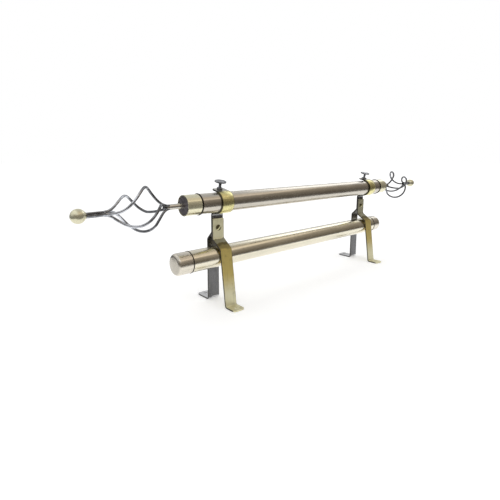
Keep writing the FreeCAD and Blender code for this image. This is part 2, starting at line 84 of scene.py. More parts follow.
# Weld, collar, ball and bead of a finial. Ring rows are (share of the ring's length, share of the radius)
WELD_RADIUS = 4.0 * MM
WELD_LENGTH = 5.0 * MM
WELD_SHIFT = 0.5 * MM
WELD_STEPS = 12
COLLAR_LOBE = 1.08
COLLAR_RING = 1.4 * MM
COLLAR_RING_ROWS = ((0, 0), (0, 0.94), (0.5, 1.03), (1, 0.97), (1.2, 1))
BALL_RADIUS = 7.5 * MM
BALL_NECK_RADIUS = 3.6 * MM
BALL_NECK_LENGTH = 1.2 * MM
BALL_NECK_FOOT = 0.9
BALL_NECK_RIM = 1.12
FERRULE_BEAD_RADIUS = 1.0 * MM
FERRULE_BEAD_SINK = 0.1 * MM

# Caps of the lower pole
CAP_SPIGOT_STEP = 1.05 * MM
CAP_EDGE_RADIUS = 4.4 * MM
CAP_CROWN = 0.8 * MM
CAP_CROWN_SHARES = (0.75, 0.5, 0.25)
CAP_SEAM_RADIUS = 0.9 * MM
SEAM_STAND = 0.45 * MM

# Screws and softened edges
THREAD_PITCH = 0.7 * MM
THREAD_DEPTH = 0.36 * MM
THREAD_SAMPLES = 8
THUMB_TIP = 0.4 * MM
THUMB_TIP_GAP = 0.01 * MM
THUMB_TIP_SLICE = 0.1 * MM
THUMB_NECK = 0.8 * MM
THUMB_FLARE_LENGTH = 0.7 * MM
THUMB_FLARE = 0.9 * MM
THUMB_HEAD_HEIGHT = 2.2 * MM
THUMB_EDGE = 0.35 * MM
THUMB_RIM = 1.4 * MM
THUMB_DISH = 0.5 * MM
THUMB_DISH_SLOPE = 0.8 * MM
THUMB_DISH_RING = 0.35
KNURL_TEETH = 48
KNURL_DEPTH = 0.4 * MM
KNURL_SAMPLES = 4
JOINT_SHANK_RADIUS = 2 * MM
JOINT_THREAD_STOP = 0.3 * MM
JOINT_THREAD_FADE = 0.2 * MM
JOINT_HEAD_HEIGHT = 2.4 * MM
JOINT_HEAD_SKIRT = 0.6 * MM
JOINT_DOME_STEPS = 12
JOINT_SLOT_WIDTH = 1.1 * MM
JOINT_SLOT_DEPTH = 1.3 * MM
JOINT_SLOT_ANGLE = 44
STRIP_EDGE = 0.25 * MM
NUT_EDGE = 0.3 * MM
SHARP_ANGLE = 38
BEVEL_ANGLE = 40
BEVEL_SEGMENTS = 2
MERGE_DISTANCE = 0.001 * MM

# Finish: linear colours of the plated surfaces
NICKEL = (0.65, 0.61, 0.535)
WARM_NICKEL = (0.87, 0.82, 0.67)
CAP_NICKEL = (0.80, 0.75, 0.65)
STEM_NICKEL = (0.74, 0.72, 0.66)
CHAMPAGNE = (0.86, 0.82, 0.60)
HOOK_BRASS = (0.84, 0.78, 0.38)
LEG_BRASS = (0.64, 0.515, 0.175)
PALE_BRASS = (0.78, 0.745, 0.515)
OLD_BRASS = (0.13, 0.115, 0.06)
PATINA = (0.165, 0.165, 0.168)
PATINA_AND_EDGE_SHADE = (0.05, 0.046, 0.042)
DARK_STEEL = (0.232, 0.24, 0.257)
SEAM_DARK = (0.035, 0.03, 0.026)
PLUG_DARK = (0.06, 0.052, 0.058)

# Finish: wear, painted sheen, dark strip edges that are partly painted shade, the pale slot, and how bright
# the upper half of each bracket is painted, the right one darker as painted shade
DRAW_WEAR = 0.14
PAINTED_SHADE_BY_SIDE = {"left": 1.0, "right": 0.48}
PAINTED_SHEEN_FADE = 6 * MM
ZONE_WANDER = 6 * MM
EDGE_DARK_START = 0.5 * MM
EDGE_DARK_FULL = 0.1 * MM
SLOT_PALE_FULL = 0.6 * JOINT_SLOT_WIDTH
SLOT_PALE_END = 0.8 * JOINT_SLOT_WIDTH
SLOT_PALE_DEPTH = 0.1 * MM

# Finish: grain in waves per metre along X, Y and Z, and the depth of its relief
SMUDGE_WAVES = (24, 60, 60)
DRAW_WAVES = (7, 1500, 1500)
PIT_WAVES = (650, 650, 650)
OXIDE_WAVES = (180, 180, 180)
RUB_WAVES = (90, 90, 90)
CLOUD_WAVES = (110, 110, 110)
BRUSH_WAVES = (1400, 40, 40)
SCREW_WAVES = (420, 420, 420)
GRAIN_WAVES = (900, 900, 900)
MOULD_WAVES = (140, 140, 140)
DRAW_RELIEF = 0.02 * MM
BRUSH_RELIEF = 0.03 * MM
OXIDE_RELIEF = 0.05 * MM

# Studio. A room's stops are (share of its height, brightness)
WHITE = (1.0, 1.0, 1.0)
FLOOR_REACH = 8.0
FLOOR_COLOUR = (0.9, 0.9, 0.9)
FLOOR_LIFT = 0.26
WORLD_LEVEL = 0.92
LAMP_PLACE = (1.9, 0.58, 1.3)
LAMP_SIZE = (1.6, 1.0)
LAMP_RADIANCE = 1.05
ROOM_RADIUS = 4.0
ROOM_STEPS = 24
ROOM_TINT = (1.0, 0.88, 0.74)
ROOM_FRONT = [
    (0.0, 0.135), (0.2, 0.19), (0.42, 0.28), (0.6, 0.36), (0.635, 0.9), (0.69, 1.0), (0.76, 0.68), (1.0, 0.6),
]
ROOM_BACK = [(0.0, 0.15), (0.15, 0.35), (0.32, 0.80), (0.6, 0.7), (1.0, 0.52)]
ROOM_DIVIDE = (-0.25, 0.1)
WINDOW_SIDE = (-0.05, -0.35)
WINDOW_HEIGHT = (0.4, 0.7)
TABLE_FRONT = -0.18
TABLE_BACK = 0.42
TABLE_LEFT = -0.6
TABLE_RIGHT = 1.6
CARD_HEIGHT = 0.5 * MM


def make_camera():
    """The camera of the main view."""
    data = bpy.data.cameras.new("camera")
    data.lens = CAMERA_LENS
    data.sensor_width = CAMERA_SENSOR
    data.shift_x, data.shift_y = CAMERA_SHIFT
    data.clip_start, data.clip_end = CAMERA_CLIP
    camera = bpy.data.objects.new("camera", data)
    camera.location = CAMERA_PLACE
    camera.rotation_euler = (math.radians(90 - CAMERA_ELEVATION), 0, math.radians(CAMERA_AZIMUTH))
    scene.collection.objects.link(camera)
    scene.camera = camera


# Materials


class Graph:
    """The node tree of a material or world, with short calls to add and join nodes."""

    def __init__(self, owner, shader):
        owner.use_nodes = True
        self.owner = owner
        self.tree = owner.node_tree
        self.shader = self.tree.nodes[shader]

    def feed(self, socket, entry):
        """Link a socket, or set its value."""
        if isinstance(entry, bpy.types.NodeSocket):
            self.tree.links.new(entry, socket)
        elif isinstance(entry, tuple) and socket.type == "RGBA":
            socket.default_value = (*entry, 1)
        else:
            socket.default_value = entry

    def feed_shader(self, **inputs):
        """Feed the shader's inputs, named as they are but with _ for a space."""
        for name, entry in inputs.items():
            self.feed(self.shader.inputs[name.replace("_", " ")], entry)

    def add(self, kind, inputs, output, **settings):
        """A node with its settings and inputs. Returns one of its outputs."""
        node = self.tree.nodes.new(kind)
        for name, setting in settings.items():
            setattr(node, name, setting)
        for key, entry in inputs.items():
            self.feed(node.inputs[key], entry)
        return node.outputs[output]

    def position(self):
        """The place in the object's own frame, in metres."""
        return self.add("ShaderNodeTexCoord", {}, "Object")

    def axis(self, letter):
        """One coordinate of the place."""
        return self.add("ShaderNodeSeparateXYZ", {0: self.position()}, letter)

    def calc(self, operation, *entries):
        """A number worked out from others."""
        return self.add("ShaderNodeMath", dict(enumerate(entries)), 0, operation=operation)

    def noise(self, waves, detail=3.0, roughness=0.55):
        """Cloudy noise, with its waves per metre along the three axes."""
        place = self.add("ShaderNodeMapping", {"Vector": self.position(), "Scale": waves}, 0)
        values = {"Vector": place, "Scale": 1.0, "Detail": detail, "Roughness": roughness}
        return self.add("ShaderNodeTexNoise", values, "Fac")

    def spread(self, value, low, high, new_low=0.0, new_high=1.0):
        """A number carried smoothly from one range to another, and held at its ends."""
        values = {"Value": value, "From Min": low, "From Max": high, "To Min": new_low, "To Max": new_high}
        return self.add("ShaderNodeMapRange", values, "Result", interpolation_type="SMOOTHSTEP")

    def ramp(self, value, stops):
        """A colour that changes with a number, through stops of (number, colour)."""
        node = self.tree.nodes.new("ShaderNodeValToRGB")
        elements = node.color_ramp.elements
        for place, colour in stops[1:-1]:
            elements.new(place)
        for element, (place, colour) in zip(elements, stops):
            element.position = place
            element.color = (*colour, 1)
        self.feed(node.inputs[0], value)
        return node.outputs["Color"]

    def mix(self, share, first, second):
        """A colour between two others."""
        return self.add("ShaderNodeMix", {0: share, 6: first, 7: second}, 2, data_type="RGBA")

    def bump(self, height, distance, strength=0.5):
        """Relief of the surface."""
        values = {"Height": height, "Distance": distance, "Strength": strength}
        self.feed_shader(Normal=self.add("ShaderNodeBump", values, 0))

    def seen_rays(self):
        """1 for rays from the camera, from a mirror or through glass, and 0 for the others."""
        path = self.tree.nodes.new("ShaderNodeLightPath")
        seen = self.calc("MAXIMUM", path.outputs["Is Camera Ray"], path.outputs["Is Glossy Ray"])
        return self.calc("MAXIMUM", seen, path.outputs["Is Transmission Ray"])

    def finish(self, colour, roughness, metallic=1.0):
        """Set the shader's main inputs and return the material."""
        self.feed_shader(Base_Color=colour, Roughness=roughness, Metallic=metallic)
        return self.owner


def surface(name):
    """The node tree of a new material."""
    return Graph(bpy.data.materials.new(name), "Principled BSDF")


def shade(colour, factor):
    """A colour made darker or lighter."""
    return tuple(channel * factor for channel in colour)


def drawn_metal(name, tone, roughness, metallic=1.0, end_face_shade=None):
    """Bright plated metal: faint draw lines, soft handling marks and small dark pits, and, where a darker end
    colour is given, painted shade on the faces that look along the poles."""
    graph = surface(name)
    smudges = graph.noise(SMUDGE_WAVES, detail=4.0)
    streaks = graph.noise(DRAW_WAVES)
    pits = graph.noise(PIT_WAVES, detail=2.0)
    colour = graph.mix(graph.spread(smudges, 0.35, 0.65), shade(tone, 1 - DRAW_WEAR / 2), shade(tone, 1.03))
    colour = graph.mix(graph.spread(streaks, 0.42, 0.75, 0.0, 0.4), colour, shade(tone, 1 - DRAW_WEAR * 2))
    colour = graph.mix(graph.spread(pits, 0.70, 0.80, 0.0, 0.5), colour, shade(tone, 0.35))
    # Painted shade: faces that look along the poles get a darker colour, standing in for the dim reflection
    # on them.
    if end_face_shade:
        normal = graph.add("ShaderNodeNewGeometry", {}, "Normal")
        facing = graph.calc("ABSOLUTE", graph.add("ShaderNodeSeparateXYZ", {0: normal}, "X"))
        colour = graph.mix(graph.spread(facing, 0.5, 0.97, 0.0, 0.8), colour, end_face_shade)
    marks = graph.calc("ADD", smudges, streaks)
    gloss = graph.spread(marks, 0.7, 1.3, roughness - 0.05, roughness + 0.07)
    graph.bump(graph.calc("ADD", streaks, graph.calc("MULTIPLY", pits, 0.5)), DRAW_RELIEF)
    return graph.finish(colour, gloss, metallic)


def dark_metal(name, tone, roughness, painted_sheen=None):
    """Darkened steel: uneven oxide with paler rubbed spots, and, between two places on the left where they
    are given as (outer, inner), a painted sheen that turns it pale almost all over, standing in for a bright
    reflection."""
    graph = surface(name)
    oxide = graph.noise(OXIDE_WAVES, detail=5.0, roughness=0.65)
    rubbed = graph.noise(RUB_WAVES, detail=5.0)
    colour = graph.mix(graph.spread(oxide, 0.32, 0.68), shade(tone, 0.7), shade(tone, 1.2))
    colour = graph.mix(graph.spread(rubbed, 0.52, 0.66, 0.0, 0.6), colour, shade(tone, 2.2))
    # Painted reflection: a pale sheen over the given stretch stands in for the bright reflection on those
    # wires.
    if painted_sheen:
        outer, inner = painted_sheen
        within_inner = graph.spread(graph.axis("X"), inner + PAINTED_SHEEN_FADE, inner - PAINTED_SHEEN_FADE)
        within_outer = graph.spread(graph.axis("X"), outer - PAINTED_SHEEN_FADE, outer + PAINTED_SHEEN_FADE)
        within = graph.calc("MULTIPLY", within_inner, within_outer)
        sheen_share = graph.calc("MULTIPLY", within, graph.spread(rubbed, 0.36, 0.54, 0.35, 0.9))
        colour = graph.mix(sheen_share, colour, shade(tone, 3.6))
    gloss = graph.spread(oxide, 0.3, 0.7, roughness + 0.08, roughness - 0.06)
    graph.bump(oxide, OXIDE_RELIEF)
    return graph.finish(colour, gloss)


def wire_steel():
    """Dark wire, with a painted sheen that turns the outer half of the left cage pale."""
    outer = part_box("left_finial_collar")[1].x
    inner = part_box("left_finial_stem")[0].x
    painted_sheen = (outer, (outer + inner) / 2)
    return dark_metal("dark_wire", shade(DARK_STEEL, 0.85), roughness=0.22, painted_sheen=painted_sheen)


def strip_surface(name, zones, roughness, metallic=1.0):
    """Bent strip: zones of plating, painted shade and painted light one above another, brushed along the
    strip, with dark edges that are partly painted shade. Each zone is (height where it starts, height over
    which it fades in, colour)."""
    graph = surface(name)
    cloud = graph.noise(CLOUD_WAVES, detail=4.0)
    brushing = graph.noise(BRUSH_WAVES)
    wander = graph.calc("MULTIPLY", graph.calc("SUBTRACT", cloud, 0.5), ZONE_WANDER)
    level = graph.calc("ADD", graph.axis("Z"), wander)
    colour = zones[0][2]
    for start, fade, tone in zones[1:]:
        colour = graph.mix(graph.spread(level, start, start + fade), colour, tone)
    colour = graph.mix(graph.spread(cloud, 0.55, 0.8, 0.0, 0.35), colour, PATINA_AND_EDGE_SHADE)
    colour = graph.mix(graph.spread(brushing, 0.5, 0.8, 0.0, 0.3), colour, PATINA_AND_EDGE_SHADE)
    # Dark side edges: partly the strip's own dark edges, partly painted shade for the shade on its side
    # faces.
    low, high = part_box("right_front_strip")
    half_width = (high.x - low.x) / 2
    from_middle = graph.calc("SUBTRACT", graph.calc("ABSOLUTE", graph.axis("X")), (low.x + high.x) / 2)
    across = graph.calc("ABSOLUTE", from_middle)
    edge = graph.spread(across, half_width - EDGE_DARK_START, half_width - EDGE_DARK_FULL, 0.0, 0.92)
    colour = graph.mix(edge, colour, PATINA_AND_EDGE_SHADE)
    marks = graph.calc("ADD", cloud, brushing)
    gloss = graph.spread(marks, 0.7, 1.3, roughness - 0.06, roughness + 0.08)
    graph.bump(graph.calc("ADD", brushing, cloud), BRUSH_RELIEF)
    return graph.finish(colour, gloss, metallic)


def rear_strip_metal(side):
    """Grey patina on the leg and tail, yellow brass on the hook, pale on the tab; the foot painted pale as
    painted light on its top, and the right bracket's slope and tail painted darker as painted shade.
    """
    low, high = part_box("upper_pole")
    # Painted light: the foot is painted pale, standing in for the light on its upper face.
    foot = (0, 0, shade(PATINA, 3.9))
    leg = (2.5 * MM, 2 * MM, PATINA)
    # Painted shade: on the right bracket the slope and tail are painted darker.
    slope = (low.z - 50 * MM, 20 * MM, shade(PATINA, 1.5 * PAINTED_SHADE_BY_SIDE[side]))
    tail = (low.z - 22 * MM, 15 * MM, shade(PATINA, 1.8 * PAINTED_SHADE_BY_SIDE[side]))
    hook = (low.z - 3 * MM, 1.5 * MM, HOOK_BRASS)
    tab = (high.z + 0.6 * MM, 1.5 * MM, shade(STEM_NICKEL, 0.55))
    zones = [foot, leg, slope, tail, hook, tab]
    return strip_surface(f"{side}_rear_strip_plating", zones, roughness=0.27)


def front_strip_metal(side):
    """Brass that is pale on the foot and plate and deeper on the leg, with painted shade darkening the bend
    from the leg's top to the slope, darkest on the shoulder, and the right plate painted darker as painted
    shade.
    """
    low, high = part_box("lower_pole")
    foot = (0, 0, PALE_BRASS)
    leg = (low.z - 34 * MM, 30 * MM, LEG_BRASS)
    # Painted shade: the leg's top, the shoulder and the slope are painted darker where the bend lies in
    # shade.
    leg_top = (high.z - 3 * MM, 3 * MM, shade(LEG_BRASS, 0.42))
    shoulder = (high.z + 1.5 * MM, 1 * MM, shade(LEG_BRASS, 0.22))
    slope = (high.z + 4 * MM, 1 * MM, shade(PALE_BRASS, 0.4))
    # Painted shade: the right plate is painted darker.
    plate = (high.z + 8.5 * MM, 1 * MM, shade(PALE_BRASS, 1.2 * PAINTED_SHADE_BY_SIDE[side]))
    zones = [foot, leg, leg_top, shoulder, slope, plate]
    return strip_surface(f"{side}_front_strip_plating", zones, roughness=0.48, metallic=0.75)


def joint_screw_metal():
    """Dark brass screw, pale along its slot and over the slot's lips."""
    low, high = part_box("right_joint_screw")
    middle = (low + high) / 2
    seat = low.y + JOINT_HEAD_HEIGHT
    turn = math.radians(JOINT_SLOT_ANGLE)
    graph = surface("joint_screw_brass")
    side = graph.calc("SIGN", graph.axis("X"))
    right = graph.calc("SUBTRACT", graph.axis("X"), graph.calc("MULTIPLY", side, middle.x))
    up = graph.calc("SUBTRACT", graph.axis("Z"), middle.z)
    right_share = graph.calc("MULTIPLY", right, math.cos(turn))
    up_share = graph.calc("MULTIPLY", up, math.sin(turn))
    across = graph.calc("ABSOLUTE", graph.calc("SUBTRACT", right_share, up_share))
    at_slot = graph.spread(across, SLOT_PALE_FULL, SLOT_PALE_END, 1.0, 0.0)
    on_head = graph.spread(graph.axis("Y"), seat, seat + SLOT_PALE_DEPTH, 1.0, 0.0)
    pale_slot = graph.calc("MULTIPLY", at_slot, on_head)
    oxide = graph.noise(SCREW_WAVES, detail=4.0)
    colour = graph.mix(graph.spread(oxide, 0.35, 0.65), shade(OLD_BRASS, 0.7), shade(OLD_BRASS, 1.3))
    colour = graph.mix(pale_slot, colour, shade(PALE_BRASS, 1.2))
    gloss = graph.spread(oxide, 0.3, 0.7, 0.42, 0.30)
    graph.bump(oxide, OXIDE_RELIEF)
    return graph.finish(colour, gloss, graph.spread(pale_slot, 0.0, 1.0, 1.0, 0.2))


def plug_plastic():
    """Dark moulded plug with a fine grain."""
    graph = surface("plug_plastic")
    grain = graph.noise(GRAIN_WAVES, detail=2.0)
    cloud = graph.noise(MOULD_WAVES)
    colour = graph.mix(graph.spread(cloud, 0.3, 0.7), shade(PLUG_DARK, 0.75), shade(PLUG_DARK, 1.35))
    gloss = graph.spread(grain, 0.3, 0.7, 0.36, 0.52)
    graph.bump(grain, OXIDE_RELIEF)
    return graph.finish(colour, gloss, metallic=0.0)


# Meshes


def add_piece(name, mesh, material, body, replaced=None):
    """Put a mesh in the scene as a piece of the object."""
    mesh.set_sharp_from_angle(angle=math.radians(SHARP_ANGLE))
    mesh.materials.append(material)
    piece = bpy.data.objects.new(name, mesh)
    scene.collection.objects.link(piece)
    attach(piece, body)
    if replaced:
        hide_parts(replaced)
    return piece


def close_mesh(name, build):
    """Finish a mesh: faces outwards and smooth."""
    bmesh.ops.recalc_face_normals(build, faces=build.faces)
    for face in build.faces:
        face.smooth = True
    mesh = bpy.data.meshes.new(name)
    build.to_mesh(mesh)
    build.free()
    return mesh


def bridge(build, first, second):
    """Faces between two rings of points, either of which may be a single point."""
    count = max(len(first), len(second))
    for step in range(count):
        corners = []
        for ring, steps in ((first, (step - 1, step)), (second, (step, step - 1))):
            corners += [ring[0]] if len(ring) == 1 else [ring[number] for number in steps]
        build.faces.new(corners)


def turned_mesh(name, rows, place, segments, relief=None, ring=False):
    """A turned mesh. Each row is (along, radius); place carries (along, across, up) into the frame, relief
    gives what is taken off the radius at a place and an angle, and a ring's last row joins its first."""
    build = bmesh.new()
    loops = []
    for along, radius in rows:
        if radius == 0:
            loops.append([build.verts.new(place(along, 0, 0))])
            continue
        loop = []
        for step in range(segments):
            angle = 2 * math.pi * step / segments
            reach = radius - (relief(along, angle) if relief else 0)
            loop.append(build.verts.new(place(along, reach * math.cos(angle), reach * math.sin(angle))))
        loops.append(loop)
    pairs = list(zip(loops, loops[1:]))
    if ring:
        pairs.append((loops[-1], loops[0]))
    for first, second in pairs:
        bridge(build, first, second)
    return close_mesh(name, build)


def tube_mesh(name, points, radius, sides):
    """A round wire along a line of points, with closed ends."""
    build = bmesh.new()
    across = Vector((0, 0, 1))
    rings = []
    for index, point in enumerate(points):
        before = points[max(index - 1, 0)]
        after = points[min(index + 1, len(points) - 1)]
        tangent = (after - before).normalized()
        across = (across - tangent * across.dot(tangent)).normalized()
        other = tangent.cross(across)
        ring = []
        for side in range(sides):
            angle = 2 * math.pi * side / sides
            outwards = across * math.cos(angle) + other * math.sin(angle)
            ring.append(build.verts.new(point + outwards * radius))
        rings.append(ring)
    for first, second in zip(rings, rings[1:]):
        bridge(build, first, second)
    build.faces.new(rings[0])
    build.faces.new(rings[-1])
    return close_mesh(name, build)


def arc_rows(centre, middle_radius, radius, start, stop, steps):
    """Rows of an outline along an arc about (centre, middle_radius), with angles from the axis in degrees."""
    rows = []
    for step in range(steps + 1):
        angle = math.radians(start + (stop - start) * step / steps)
        rows.append((centre + radius * math.cos(angle), middle_radius + radius * math.sin(angle)))
    return rows


def round_ring_rows(middle_radius, radius, steps):
    """Rows of a ring of round section about a pole's end."""
    return arc_rows(0, middle_radius, radius, 0, 360, steps)[:-1]


def soften(node, width):
    """Round a solid's sharp edges a little, over the solid itself."""
    merge = nodes[node].modifiers.new("weld", "WELD")
    merge.merge_threshold = MERGE_DISTANCE
    bevel = nodes[node].modifiers.new("soft_edges", "BEVEL")
    bevel.width = width
    bevel.segments = BEVEL_SEGMENTS
    bevel.limit_method = "ANGLE"
    bevel.angle_limit = math.radians(BEVEL_ANGLE)
    bevel.harden_normals = True


def paint(node, material):
    """Give a solid its material."""
    slots = nodes[node].data.materials
    slots.clear()
    slots.append(material)


# Places in the frame


def radius_of(node):
    """Radius of a round solid that lies level."""
    low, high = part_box(node)
    return (high.z - low.z) / 2


def end_place(side, pole):
    """A function that carries (outwards from the pole's end, across, up) into the frame."""
    sign = SIDES[side]
    low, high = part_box(pole)
    middle = (low + high) / 2
    end = high.x if sign > 0 else low.x

    def place(along, across, up):
        return Vector((end + sign * along, middle.y + sign * across, middle.z + up))

    return place


def reach_beyond(node, pole):
    """How far a solid on a pole's right end starts and stops beyond that end."""
    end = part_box(pole)[1].x
    low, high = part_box(node)
    return low.x - end, high.x - end


# Finials


def eased(points, reach, passes):
    """A line of points with its bends softened from its first point as far as a number of points."""
    points = list(points)
    for _ in range(passes):
        softer = [(a + 2 * b + c) / 4 for a, b, c in zip(points, points[1:], points[2:])]
        points[1:reach] = softer[:reach - 1]
    return points


def cage_points(number):
    """The middle line of one wire: (outwards from the pole's end, across, up)."""
    start = reach_beyond("right_finial_stem", "upper_pole")[1]
    length = reach_beyond("right_finial_collar", "upper_pole")[0] - start
    spread = length - 2 * CAGE_LEAD
    power = math.log(0.5) / math.log((CAGE_PEAK - CAGE_LEAD) / spread)
    gathered = (2 * WIRE_RADIUS + WIRE_SPACING) / math.sqrt(2)
    points = []
    for step in range(WIRE_STEPS + 1):
        along = length * step / WIRE_STEPS
        share = min(max((along - CAGE_LEAD) / spread, 0), 1)
        bulge = math.sin(math.pi * share ** power) ** CAGE_FULLNESS
        radius = gathered + (CAGE_RADIUS - gathered) * bulge
        turn = math.radians(CAGE_TURN + CAGE_TWIST * share + 360 * number / WIRES_PER_CAGE)
        points.append(Vector((start + along, radius * math.cos(turn), radius * math.sin(turn))))
    points = eased(points, WIRE_STEPS, WIRE_EASING)
    root = []
    for step in range(ROOT_POINTS):
        back = ROOT_LENGTH * (1 - step / ROOT_POINTS)
        root.append(points[0] - Vector((back, 0, 0)))
    return eased(root + points, ROOT_REACH, ROOT_EASING)


def cage(side, place, metal):
    """The four smooth wires."""
    for number in range(WIRES_PER_CAGE):
        name = f"{side}_cage_wire_{number + 1}"
        points = [place(*point) for point in cage_points(number)]
        mesh = tube_mesh(f"{name}_round", points, WIRE_LOOK_RADIUS, WIRE_SIDES)
        add_piece(f"{name}_round", mesh, metal, "pole_set", name)


def weld(side, place, metal):
    """The rounded weld where the wires leave the stem."""
    centre = reach_beyond("right_finial_stem", "upper_pole")[1] + WELD_SHIFT
    half_length = WELD_LENGTH / 2
    rows = [(centre - half_length, 0)]
    for step in range(1, WELD_STEPS):
        angle = math.pi * step / WELD_STEPS
        rows.append((centre - half_length * math.cos(angle), WELD_RADIUS * math.sin(angle)))
    rows.append((centre + half_length, 0))
    mesh = turned_mesh(f"{side}_cage_weld", rows, place, segments=40)
    add_piece(f"{side}_cage_weld", mesh, metal, "pole_set")


def collar(side, place, metal):
    """The gathered wires, drawn as a bar with a groove between each two, and a ring at each end."""
    name = f"{side}_finial_collar"
    start, stop = reach_beyond("right_finial_collar", "upper_pole")
    radius = radius_of(name)
    lobe = radius - WIRE_RADIUS * COLLAR_LOBE
    first_wire = math.radians(CAGE_TURN + CAGE_TWIST)
    quarter = 2 * math.pi / WIRES_PER_CAGE

    def relief(along, angle):
        if not start + COLLAR_RING < along < stop - COLLAR_RING:
            return 0
        turn = (angle - first_wire + quarter / 2) % quarter - quarter / 2
        reach = math.sqrt((radius - lobe) ** 2 - (lobe * math.sin(turn)) ** 2)
        return radius - lobe * math.cos(turn) - reach

    ring = [(COLLAR_RING * along, radius * share) for along, share in COLLAR_RING_ROWS]
    rows = [(start + along, reach) for along, reach in ring]
    rows.append(((start + stop) / 2, radius))
    rows += [(stop - along, reach) for along, reach in reversed(ring)]
    mesh = turned_mesh(f"{name}_lobed", rows, place, segments=72, relief=relief)
    add_piece(f"{name}_lobed", mesh, metal, "pole_set", name)


def ball(side, place, metal):
    """The ball at the tip, with a short neck."""
    start, stop = reach_beyond("right_finial_ball", "upper_pole")
    centre = stop - BALL_RADIUS
    seat = math.degrees(math.asin(BALL_NECK_RADIUS / BALL_RADIUS))
    neck_start = start - BALL_NECK_LENGTH / 2
    neck_stop = start + BALL_NECK_LENGTH / 2
    rows = [(neck_start, 0), (neck_start, BALL_NECK_RADIUS * BALL_NECK_FOOT)]
    rows += [(start, BALL_NECK_RADIUS * BALL_NECK_RIM), (neck_stop, BALL_NECK_RADIUS)]
    rows += arc_rows(centre, 0, BALL_RADIUS, 180 - seat, 0, steps=30)[1:-1]
    rows.append((stop, 0))
    mesh = turned_mesh(f"{side}_ball", rows, place, segments=56)
    add_piece(f"{side}_ball", mesh, metal, "pole_set", f"{side}_finial_ball")


def ferrule_bead(side, place, metal):
    """The dark bead where the ferrule starts."""
    rows = round_ring_rows(radius_of("upper_pole") - FERRULE_BEAD_SINK, FERRULE_BEAD_RADIUS, steps=12)
    mesh = turned_mesh(f"{side}_ferrule_bead", rows, place, segments=96, ring=True)
    add_piece(f"{side}_ferrule_bead", mesh, metal, "pole_set")


def finial(side, wire, brass, seam):
    """Smooth wires, weld, collar, ball and bead of one finial."""
    place = end_place(side, "upper_pole")
    cage(side, place, wire)
    weld(side, place, wire)
    collar(side, place, wire)
    ball(side, place, brass)
    ferrule_bead(side, place, seam)


# Lower pole's caps


def lower_cap(side, metal, seam):
    """Cap with a round edge and a slightly crowned face, and the dark seam where it meets the pole."""
    place = end_place(side, "lower_pole")
    spigot, face = reach_beyond("right_lower_cap", "lower_pole")
    pole_radius = radius_of("lower_pole")
    spigot_radius = pole_radius - CAP_SPIGOT_STEP
    flat = pole_radius - CAP_EDGE_RADIUS
    rows = [(spigot, 0), (spigot, spigot_radius), (0, spigot_radius), (0, pole_radius)]
    rows += arc_rows(face - CAP_CROWN - CAP_EDGE_RADIUS, flat, CAP_EDGE_RADIUS, 90, 0, steps=8)
    rows += [(face - CAP_CROWN * share ** 2, flat * share) for share in CAP_CROWN_SHARES]
    rows.append((face, 0))
    mesh = turned_mesh(f"{side}_cap", rows, place, segments=88)
    add_piece(f"{side}_cap", mesh, metal, "pole_set", f"{side}_lower_cap")
    rows = round_ring_rows(pole_radius + SEAM_STAND - CAP_SEAM_RADIUS, CAP_SEAM_RADIUS, steps=10)
    mesh = turned_mesh(f"{side}_cap_seam", rows, place, segments=96, ring=True)
    add_piece(f"{side}_cap_seam", mesh, seam, "pole_set")


# Screws


def thread_relief(start, stop):
    """Relief of a screw thread between two places along a screw."""

    def relief(along, angle):
        if not start < along < stop:
            return 0
        phase = (along / THREAD_PITCH - angle / (2 * math.pi)) % 1
        return THREAD_DEPTH * abs(2 * phase - 1)

    return relief


def thread_rows(start, stop, radius):
    """Rows close enough together to show the thread."""
    count = math.ceil((stop - start) / THREAD_PITCH * THREAD_SAMPLES)
    return [(start + (stop - start) * step / count, radius) for step in range(count + 1)]


def thumb_screw(side, metal):
    """Threaded screw with a knurled, slightly dished head, turning with its own body."""
    name = f"{side}_thumb_screw"
    joint = next(joint for joint in frame["joints"] if joint["child"] == name)
    origin = Vector(joint["pos_m"])
    axis = Vector(joint["axis"]).normalized()
    across = Vector((1, 0, 0))
    other = axis.cross(across)

    def place(along, right, up):
        return origin + axis * along + across * right + other * up

    offsets = [vertex.co - origin for vertex in nodes[name].data.vertices]
    heights = [offset.dot(axis) for offset in offsets]
    radii = [(offset - axis * height).length for offset, height in zip(offsets, heights)]
    tip, top = min(heights), max(heights)
    head = max(radii)
    shank = max(radius for radius, height in zip(radii, heights) if height < tip + THUMB_TIP_SLICE)
    seat = top - THUMB_HEAD_HEIGHT
    thread_start = tip + THUMB_TIP
    thread_stop = seat - THUMB_NECK
    thread = thread_relief(thread_start, thread_stop)

    def relief(along, angle):
        if seat + THUMB_EDGE / 2 < along < top - THUMB_EDGE / 2:
            return KNURL_DEPTH * (0.5 + 0.5 * math.cos(KNURL_TEETH * angle))
        return thread(along, angle)

    face = head - THUMB_EDGE - KNURL_DEPTH
    dish = top - THUMB_DISH
    rows = [(tip, 0), (tip, shank - THREAD_DEPTH), (thread_start, shank - THREAD_DEPTH / 2)]
    rows += thread_rows(thread_start + THUMB_TIP_GAP, thread_stop, shank)
    rows += [(seat - THUMB_FLARE_LENGTH, shank), (seat, shank + THUMB_FLARE), (seat, face)]
    rows += [(seat + THUMB_EDGE, head), (top - THUMB_EDGE, head), (top, face), (top, head - THUMB_RIM)]
    rows += [(dish, head - THUMB_RIM - THUMB_DISH_SLOPE), (dish, head * THUMB_DISH_RING), (dish, 0)]
    segments = KNURL_TEETH * KNURL_SAMPLES
    mesh = turned_mesh(f"{name}_knurled", rows, place, segments=segments, relief=relief)
    add_piece(f"{name}_knurled", mesh, metal, name, name)


